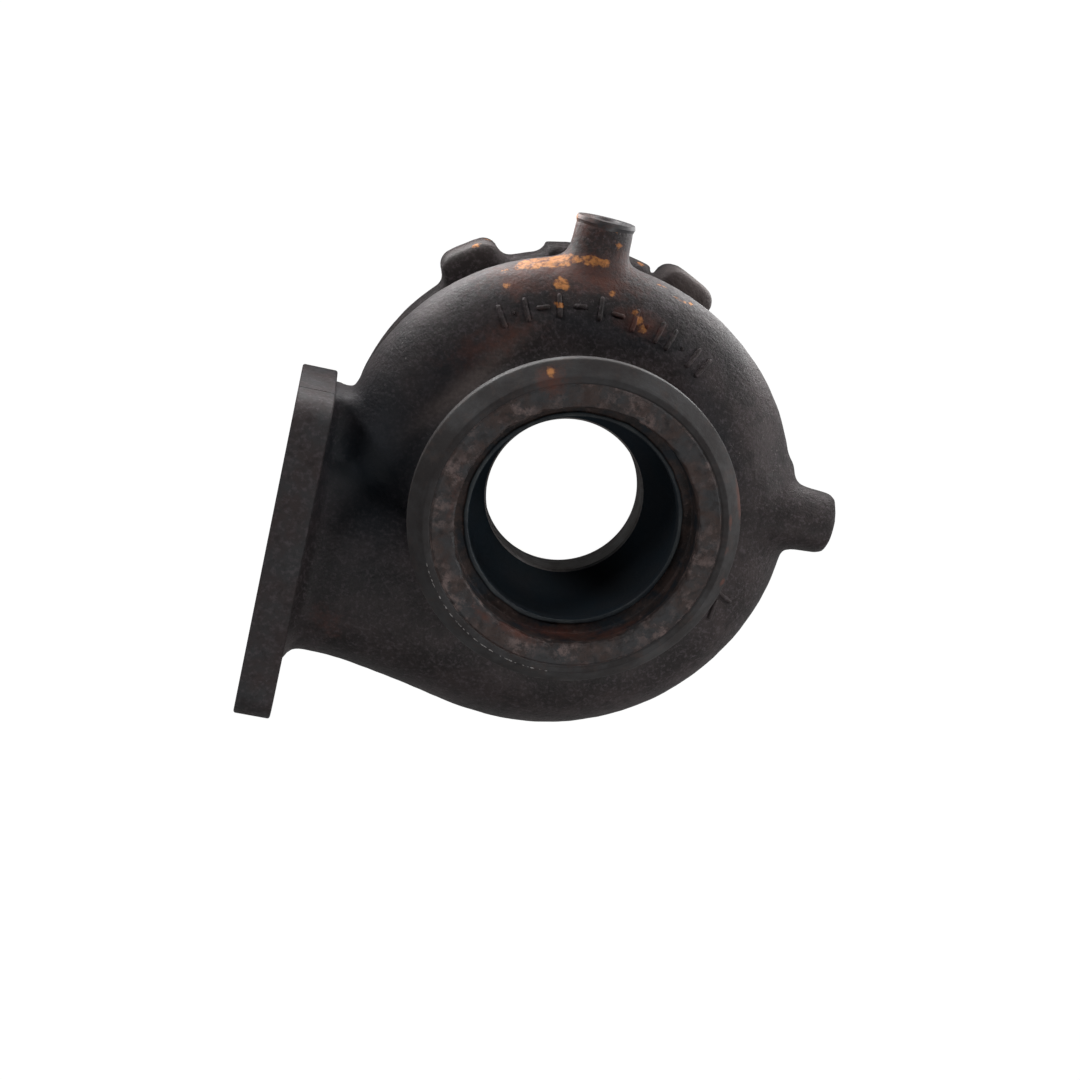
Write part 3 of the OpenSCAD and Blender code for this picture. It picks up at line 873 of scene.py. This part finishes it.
def plate(name, loops, thickness, edge, to_place, material):
    """A flat plate with holes and eased edges. loops holds closed lists of 2D points in metres."""
    curve = bpy.data.curves.new(name, "CURVE")
    curve.dimensions = "2D"
    curve.fill_mode = "BOTH"
    curve.extrude = thickness / 2 - edge
    curve.bevel_depth = edge
    curve.bevel_resolution = 2
    curve.offset = -edge
    for loop in loops:
        spline = curve.splines.new("POLY")
        spline.points.add(len(loop) - 1)
        for point, (x, y) in zip(spline.points, loop):
            point.co = (x, y, 0, 1)
        spline.use_cyclic_u = True
    rough = add_object(name + "_outline", curve)
    mesh = baked(rough)
    bpy.data.objects.remove(rough)
    mesh.name = name
    mesh.transform(to_place)
    mesh.materials.clear()
    mesh.materials.append(material)
    shade(mesh, PLATE_SHARP)
    paint_wear_and_light(mesh)
    return add_piece(name, mesh)


def box_mesh(name, low, high):
    """A plain box between two corners."""
    spots = [(x, y, z) for x in (low.x, high.x) for y in (low.y, high.y) for z in (low.z, high.z)]
    faces = [(0, 1, 3, 2), (4, 6, 7, 5), (0, 4, 5, 1), (2, 3, 7, 6), (0, 2, 6, 4), (1, 5, 7, 3)]
    return new_mesh(name, spots, faces)


def polar(r, a):
    return r * cos(a), r * sin(a)


def circle(x, y, r, steps=48):
    spots = [polar(r, 2 * pi * k / steps) for k in range(steps)]
    return [(x + dx, y + dy) for dx, dy in spots]


def rounded_box(width, height, corner, steps=10):
    """Outline of a rectangle with round corners about the origin."""
    loop = []
    for k, (sx, sy) in enumerate(((1, 1), (-1, 1), (-1, -1), (1, -1))):
        for j in range(steps + 1):
            dx, dy = polar(corner, pi / 2 * (k + j / steps))
            loop.append((sx * (width / 2 - corner) + dx, sy * (height / 2 - corner) + dy))
    return loop


def power_box(width, height, power, steps=72):
    """Outline of a rectangle with soft corners, as |x|^power + |y|^power = 1 scaled."""
    loop = []
    for k in range(steps):
        c, s = polar(1, 2 * pi * k / steps)
        x, y = (copysign(abs(v) ** (2 / power), v) for v in (c, s))
        loop.append((x * width / 2, y * height / 2))
    return loop


class HOUSING_OT_inlet_flange(bpy.types.Operator):
    """Make the inlet flange with its gas opening and bolt holes"""

    bl_idname = "housing.inlet_flange"
    bl_label = "Inlet Flange"

    def execute(self, context):
        s = sizes()
        dy = dim("inlet_bolts", "spacing_x") / 2
        dz = dim("inlet_bolts", "spacing_y") / 2
        hole = dim("inlet_bolts", "hole_r")
        loops = [rounded_box(s.plate_length, s.plate_width, s.plate_corner)]
        loops.append(power_box(s.port_length, s.port_width, 5))
        loops += [circle(sx * dy, sy * dz, hole) for sx in (-1, 1) for sy in (-1, 1)]
        centre = place("inlet_bolts")
        turn = Matrix(((0, 0, 1), (1, 0, 0), (0, 1, 0))).to_4x4()
        spot = Matrix.Translation(centre + Vector((s.plate_thickness / 2, 0, 0))) @ turn
        obj = plate("inlet_flange", loops, s.plate_thickness, 0.7 * MM, spot, flange_skin())
        top = centre.y + s.plate_length / 2
        low = Vector((LOW.x - 2 * MM, top - 0.35 * MM, centre.z + 12.1 * MM))
        high = Vector((LOW.x + s.plate_thickness + 2 * MM, top + 1 * MM, centre.z + 12.6 * MM))
        self.cut(context, obj, box_mesh("seam_cutter", low, high))
        return {"FINISHED"}

    def cut(self, context, obj, cutter):
        """Takes a tool shape out of a mesh for good."""
        tool = add_object("cutter", cutter)
        step = obj.modifiers.new("cut", "BOOLEAN")
        step.operation = "DIFFERENCE"
        step.solver = "EXACT"
        step.object = tool
        context.view_layer.update()
        mesh = baked(obj)
        obj.modifiers.clear()
        obj.data = mesh
        bpy.data.objects.remove(tool)
        shade(mesh, PLATE_SHARP)


def lug_edge(off, s):
    """Distance of a clamp lug's edge from the axis, at an angle from the lug's middle."""
    c, d = cos(off), max(abs(sin(off)), 1e-9)
    x, y = s.lug_reach - s.lug_corner, s.lug_width / 2 - s.lug_corner
    if s.lug_reach / c * d <= y:
        return s.lug_reach / c
    side = s.lug_width / 2 / d
    if side * c <= x:
        return side
    along = x * c + y * d
    return along + sqrt(max(along ** 2 - x * x - y * y + s.lug_corner ** 2, 0))


class HOUSING_OT_rear_face(bpy.types.Operator):
    """Make the machined rear face with its pilot bore and threaded holes"""

    bl_idname = "housing.rear_face"
    bl_label = "Rear Face"

    def execute(self, context):
        s = sizes()
        f = colours()
        count = MOUNTS["rear_bolts"]["dims"]["count"]
        ring = dim("rear_bolts", "pcd") / 2
        pitch = 2 * pi / count
        outline = []
        for k in range(720):
            a = 2 * pi * k / 720
            off = (a - s.lug_start + pitch / 2) % pitch - pitch / 2
            outline.append(polar(max(s.rear_r, lug_edge(off, s)) - 0.6 * MM, a))
        loops = [outline, circle(0, 0, dim("rear_pilot", "r"), 192)]
        for k in range(count):
            x, y = polar(ring, s.lug_start + pitch * k)
            loops.append(circle(x, y, dim("rear_bolts", "hole_r"), 32))
        thick = 3 * MM
        material = turned("rear_face", f.machined, f.machined_pale, 0.4, 0.9, 0.55)
        spot = Matrix.Translation((0, 0, thick / 2))
        plate("rear_face", loops, thick, 0.3 * MM, spot, material)
        return {"FINISHED"}


class HOUSING_OT_sensor_boss(bpy.types.Operator):
    """Turn the sensor boss's top and cut its thread"""

    bl_idname = "housing.sensor_boss"
    bl_label = "Sensor Boss Top"

    def execute(self, context):
        s = sizes()
        f = colours()
        hole = dim("sensor_port", "r")
        deep = dim("sensor_port", "length")
        pitch = 1.25 * MM
        turns = int(deep / pitch) - 1
        corners = [
            (hole + 2 * MM, -deep - 1 * MM, 0, 0),
            (s.boss_r - 1 * MM, -deep - 1 * MM, 0, 0),
            (s.boss_r - 0.6 * MM, -3 * MM, 0, 0),
            (s.boss_r + 0.02 * MM, -1.2 * MM, 0, 0),
            (s.boss_r - 0.3 * MM, 0, 0.3 * MM, 0),
            (hole + 0.9 * MM, 0, 0.1 * MM, 0),
        ]
        for k in range(turns):
            low = -0.9 * MM - pitch * k
            corners.append((hole, low, 0, 0))
            corners.append((hole + 0.6 * MM, low - pitch / 2, 0, 0))
        corners.append((hole, -0.9 * MM - pitch * turns, 0, 0))
        corners.append((hole, -deep - 1 * MM, 0, 0))
        outline, slots = rounded(corners[::-1], 2)
        centre = place("sensor_port")
        spot = Matrix.Translation((centre.x, HIGH.y, centre.z))
        spot @= Matrix.Rotation(-pi / 2, 4, "X")
        material = turned("boss_top", f.machined, f.machined_pale, 0.5, 0.7, 0.5)
        spin("sensor_boss_top", outline, spot, [material], slots, 96)
        return {"FINISHED"}


# Plain foundry marks on the front of the scroll: the distance of a group from the axis in mm, its
# marks' turn in degrees, and the angle of each mark's middle in degrees with its shape
FOUNDRY_GROUPS = [
    (54.7, 0, [(122.0, "bar"), (118.2, "pip"), (114.4, "bar"), (109.4, "dash"), (104.4, "bar"),
               (98.2, "dash"), (92.0, "bar")]),
    (54.2, 0, [(86.6, "dash"), (81.2, "bar"), (77.0, "pip"), (72.8, "bar"), (68.6, "bar"),
               (64.2, "pip"), (59.8, "bar"), (55.4, "bar")]),
    (57.6, 10, [(-20.6, "bar")]),
    (57.2, 70, [(-25.6, "bar")]),
]
SHAPES = {
    "bar": [(0, -3.3), (0, 3.3)],
    "dash": [(-2.0, 0), (2.0, 0)],
    "pip": [(-0.5, 0), (0.5, 0)],
}


class HOUSING_OT_foundry_marks(bpy.types.Operator):
    """Raise plain foundry bars and pips on the front of the scroll"""

    bl_idname = "housing.foundry_marks"
    bl_label = "Foundry Marks"

    def execute(self, context):
        skin = context.scene.housing_skin
        body = bpy.data.objects["cast_body"]
        tree = BVHTree.FromObject(body, context.evaluated_depsgraph_get())
        points, faces = [], []
        for far, turn, group in FOUNDRY_GROUPS:
            for angle, shape in group:
                self.ridge(tree, angle, far, turn, SHAPES[shape], skin, points, faces)
        mesh = new_mesh("foundry_marks", points, faces)
        mesh.materials.append(bpy.data.materials["cast_skin"])
        shade(mesh, MARK_SHARP)
        paint_wear_and_light(mesh)
        add_piece("foundry_marks", mesh)
        return {"FINISHED"}

    def ridge(self, tree, angle, far, turn, shape, skin, points, faces):
        """Adds one closed ridge that follows the casting along a drawn line."""
        a, b = radians(angle), radians(turn)
        out = Vector((cos(a), sin(a), 0))
        side = Vector((sin(a), -cos(a), 0))
        u = side * cos(b) - out * sin(b)
        v = out * cos(b) + side * sin(b)
        line = []
        for (x0, y0), (x1, y1) in zip(shape, shape[1:]):
            steps = max(2, int(hypot(x1 - x0, y1 - y0) / 0.45))
            line += [(x0 + (x1 - x0) * k / steps, y0 + (y1 - y0) * k / steps) for k in range(steps)]
        line.append(shape[-1])
        spots = []
        for x, y in line:
            above = out * far * MM + (u * x + v * y) * MM + Vector((0, 0, HIGH.z))
            hit, normal, _, _ = tree.ray_cast(above, Vector((0, 0, -1)))
            spots.append((hit, normal))
        first = len(points)
        # Points across the ridge
        count = 7
        for k, (spot, normal) in enumerate(spots):
            ahead = spots[min(k + 1, len(spots) - 1)][0] - spots[max(k - 1, 0)][0]
            across = ahead.cross(normal).normalized()
            up = across.cross(ahead).normalized()
            share = 0.45 if k in (0, len(spots) - 1) else 1
            for j in range(count):
                c = pi * j / (count - 1)
                wide = cos(c) * skin.mark_width / 2 * share
                high = sin(c) ** 0.8 * skin.mark_height * share
                high -= 0.35 * MM * (j in (0, count - 1))
                points.append(tuple(spot + across * wide + up * high))
        for k in range(len(spots) - 1):
            for j in range(count):
                p, q = first + k * count, first + (k + 1) * count
                faces.append((p + j, p + (j + 1) % count, q + (j + 1) % count, q + j))
        last = first + (len(spots) - 1) * count
        faces.append(tuple(first + j for j in reversed(range(count))))
        faces.append(tuple(last + j for j in range(count)))


def heading(tilt, azimuth):
    """The direction that leans from +Z by tilt, towards an azimuth."""
    x, y = polar(sin(tilt), azimuth)
    return Vector((x, y, cos(tilt)))


class HOUSING_OT_stage(bpy.types.Operator):
    """Set the floor, the lamps and the camera"""

    bl_idname = "housing.stage"
    bl_label = "Stage"

    def execute(self, context):
        g = context.scene.housing_stage
        self.floor(g)
        self.world(context, g)
        self.lamps(g)
        self.camera(context, g)
        context.scene.view_settings.view_transform = "Standard"
        return {"FINISHED"}

    def floor(self, g):
        spots = [(x * FLOOR_HALF, y * FLOOR_HALF, LOW.z) for x, y in ((-1, -1), (1, -1), (1, 1), (-1, 1))]
        obj = add_object("floor", new_mesh("floor", spots, [(0, 1, 2, 3)]))
        n = material_nodes("pale_floor")
        n.feed(n.shader, [("Base Color", (0.8, 0.8, 0.8)), ("Roughness", 0.9)])
        faint, white = (
            n.add("ShaderNodeEmission", [("Color", WHITE), ("Strength", strength)]).outputs[0]
            for strength in (g.floor_glow, FLOOR_WHITE)
        )
        lit = n.add("ShaderNodeAddShader", [(0, n.shader.outputs[0]), (1, faint)]).outputs[0]
        n.feed(n.tree.nodes["Material Output"], [(0, n.seen(FLOOR_SHARE, lit, white))])
        obj.data.materials.append(n.owner)

    def world(self, context, g):
        n = Nodes(bpy.data.worlds.new("studio"))
        context.scene.world = n.owner
        soft, white = (
            n.add("ShaderNodeBackground", [("Color", WHITE), ("Strength", strength)]).outputs[0]
            for strength in (g.world, 1)
        )
        n.feed(n.tree.nodes["World Output"], [(0, n.seen(1, soft, white))])

    def lamps(self, g):
        aim = Vector((0, 0, HIGH.z / 2))
        for name, azimuth, height, across, power in (
            ("above_lamp", 60, 35, 0.2, g.above_power),
            ("right_lamp", 12, 14, 0.2, g.right_power),
            ("left_lamp", 145, 22, 0.2, g.left_power),
            ("front_lamp", -50, 55, 0.3, g.front_power),
            ("fill_lamp", -140, 48, 0.3, g.fill_power),
        ):
            back = heading(radians(90 - height), radians(azimuth))
            self.lamp(name, aim + back, -back, across, power)
        for name, azimuth, share in (("edge_lamp_left", 122, 1), ("edge_lamp_right", 58, 0.7)):
            x, y = polar(0.15, radians(azimuth))
            spot = Vector((x, y, LOW.z + 0.5 * MM))
            lamp = self.lamp(name, spot, Vector((0, 0, 1)), 0.14, g.edge_power * share)
            lamp.visible_camera = False

    def lamp(self, name, spot, towards, across, power):
        """A round lamp at a place, turned along a direction."""
        data = bpy.data.lights.new(name, "AREA")
        data.shape = "DISK"
        data.size = across
        data.energy = power
        lamp = add_object(name, data)
        lamp.location = spot
        lamp.rotation_mode = "QUATERNION"
        lamp.rotation_quaternion = towards.to_track_quat("-Z", "Y")
        return lamp

    def camera(self, context, g):
        back = heading(g.tilt, g.azimuth)
        level_up = (Vector((0, 1, 0)) - back * back.y).normalized()
        level_right = level_up.cross(back)
        right = level_right * cos(g.roll) + level_up * sin(g.roll)
        up = level_up * cos(g.roll) - level_right * sin(g.roll)
        spot = Vector((0, 0, HIGH.z)) + back * g.distance - right * g.shift_right - up * g.shift_up
        data = bpy.data.cameras.new("photo_camera")
        data.lens = g.lens
        data.sensor_width = 36
        data.clip_start = 0.01
        data.clip_end = 20
        obj = add_object("photo_camera", data)
        turn = Matrix((right, up, back)).transposed().to_4x4()
        obj.matrix_world = Matrix.Translation(spot) @ turn
        context.scene.camera = obj


OPERATORS = (
    HOUSING_OT_stage,
    HOUSING_OT_cast_body,
    HOUSING_OT_outlet_ring,
    HOUSING_OT_inlet_flange,
    HOUSING_OT_rear_face,
    HOUSING_OT_sensor_boss,
    HOUSING_OT_foundry_marks,
)
GROUPS = {
    "housing_sizes": HousingSizes,
    "housing_skin": CastSkin,
    "housing_finish": Finish,
    "housing_stage": StageSettings,
}


class HOUSING_PT_panel(bpy.types.Panel):
    """Lists the steps that dress the housing"""

    bl_idname = "HOUSING_PT_panel"
    bl_label = "Turbine Housing"
    bl_space_type = "VIEW_3D"
    bl_region_type = "UI"
    bl_category = "Turbine Housing"

    def draw(self, context):
        for operator in OPERATORS:
            self.layout.operator(operator.bl_idname)
        for name, group in GROUPS.items():
            box = self.layout.box()
            for field in group.__annotations__:
                box.prop(getattr(context.scene, name), field)


def register():
    for name, group in GROUPS.items():
        bpy.utils.register_class(group)
        setattr(bpy.types.Scene, name, PointerProperty(type=group))
    for operator in OPERATORS:
        bpy.utils.register_class(operator)
    bpy.utils.register_class(HOUSING_PT_panel)


def unregister():
    bpy.utils.unregister_class(HOUSING_PT_panel)
    for operator in reversed(OPERATORS):
        bpy.utils.unregister_class(operator)
    for name, group in GROUPS.items():
        delattr(bpy.types.Scene, name)
        bpy.utils.unregister_class(group)


def main():
    register()
    bpy.ops.housing.stage()
    bpy.ops.housing.cast_body()
    bpy.ops.housing.outlet_ring()
    bpy.ops.housing.inlet_flange()
    bpy.ops.housing.rear_face()
    bpy.ops.housing.sensor_boss()
    bpy.ops.housing.foundry_marks()


if __name__ == "__main__":
    main()
